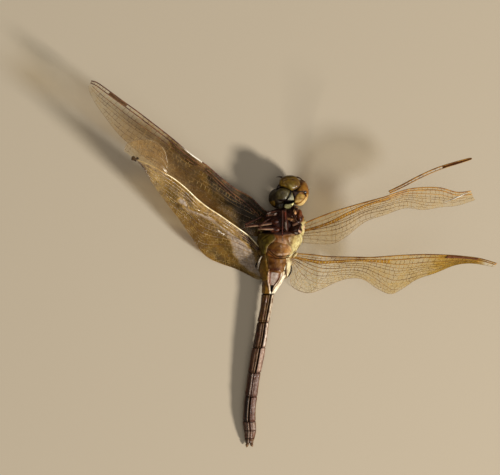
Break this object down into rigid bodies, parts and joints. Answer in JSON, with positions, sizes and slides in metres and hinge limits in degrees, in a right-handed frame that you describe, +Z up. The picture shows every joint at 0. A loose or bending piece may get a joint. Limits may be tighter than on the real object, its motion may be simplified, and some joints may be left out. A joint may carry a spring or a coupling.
{
  "type": "dried dragonfly lying on its back",
  "caption": "Life-size dried darner dragonfly on its back, wings half raised and crumpled, legs folded, for use as a still natural-history model.",
  "frame": {"origin": "a point on the flat of the thorax's back, on the floor that the insect lies on", "axes": "+Z up from the floor through the belly side, +Y along the body towards the head, +X towards the animal's own left wings"},
  "size_m": [0.1042, 0.1017, 0.0311],
  "materials": {
    "eye": "amber-brown compound eye, dried, darker at the rear",
    "face": "yellow-olive shell, softly glossy",
    "lip": "pale olive to cream lip plates with dark seams",
    "mandible": "dark brown, glossy",
    "thorax": "yellow-green side plates with brown seams, dried",
    "sternum": "orange-brown breast plates, satin",
    "leg": "dark red-brown, glossy, with black spines",
    "abdomen": "red-brown to mauve-grey rings, dark joints and groove",
    "wing": "clear amber membrane with brown veins and dark red-brown stigma"
  },
  "bodies": {
    "root": {"eye_right": "eye", "eye_left": "eye", "face": "face", "labium_right": "lip", "labium_left": "lip", "mentum": "lip", "mandible_right": "mandible", "mandible_left": "mandible", "head_capsule": "face", "antenna_right": "leg", "antenna_left": "leg", "mesothorax": "thorax", "metathorax": "thorax", "sternum": "sternum", "prothorax": "leg", "leg_fore_right_coxa": "leg", "leg_fore_right_femur": "leg", "leg_fore_right_tibia": "leg", "leg_mid_right_coxa": "leg", "leg_mid_right_femur": "leg", "leg_mid_right_tibia": "leg", "leg_hind_right_coxa": "leg", "leg_hind_right_femur": "leg", "leg_hind_right_tibia": "leg", "leg_fore_left_coxa": "leg", "leg_fore_left_femur": "leg", "leg_fore_left_tibia": "leg", "leg_mid_left_coxa": "leg", "leg_mid_left_femur": "leg", "leg_mid_left_tibia": "leg", "leg_hind_left_coxa": "leg", "leg_hind_left_femur": "leg", "leg_hind_left_tibia": "leg", "abdomen_01": "abdomen", "abdomen_02": "abdomen", "abdomen_03": "abdomen", "abdomen_04": "abdomen", "abdomen_05": "abdomen", "abdomen_06": "abdomen", "abdomen_07": "abdomen", "abdomen_08": "abdomen", "abdomen_09": "abdomen", "abdomen_10": "abdomen", "cercus_right": "leg", "cercus_left": "leg", "forewing_left": "wing", "hindwing_left": "wing", "forewing_right": "wing", "hindwing_right": "wing", "hindwing_right_tip": "wing", "forewing_left_edge": "wing"}
  },
  "joints": []
}
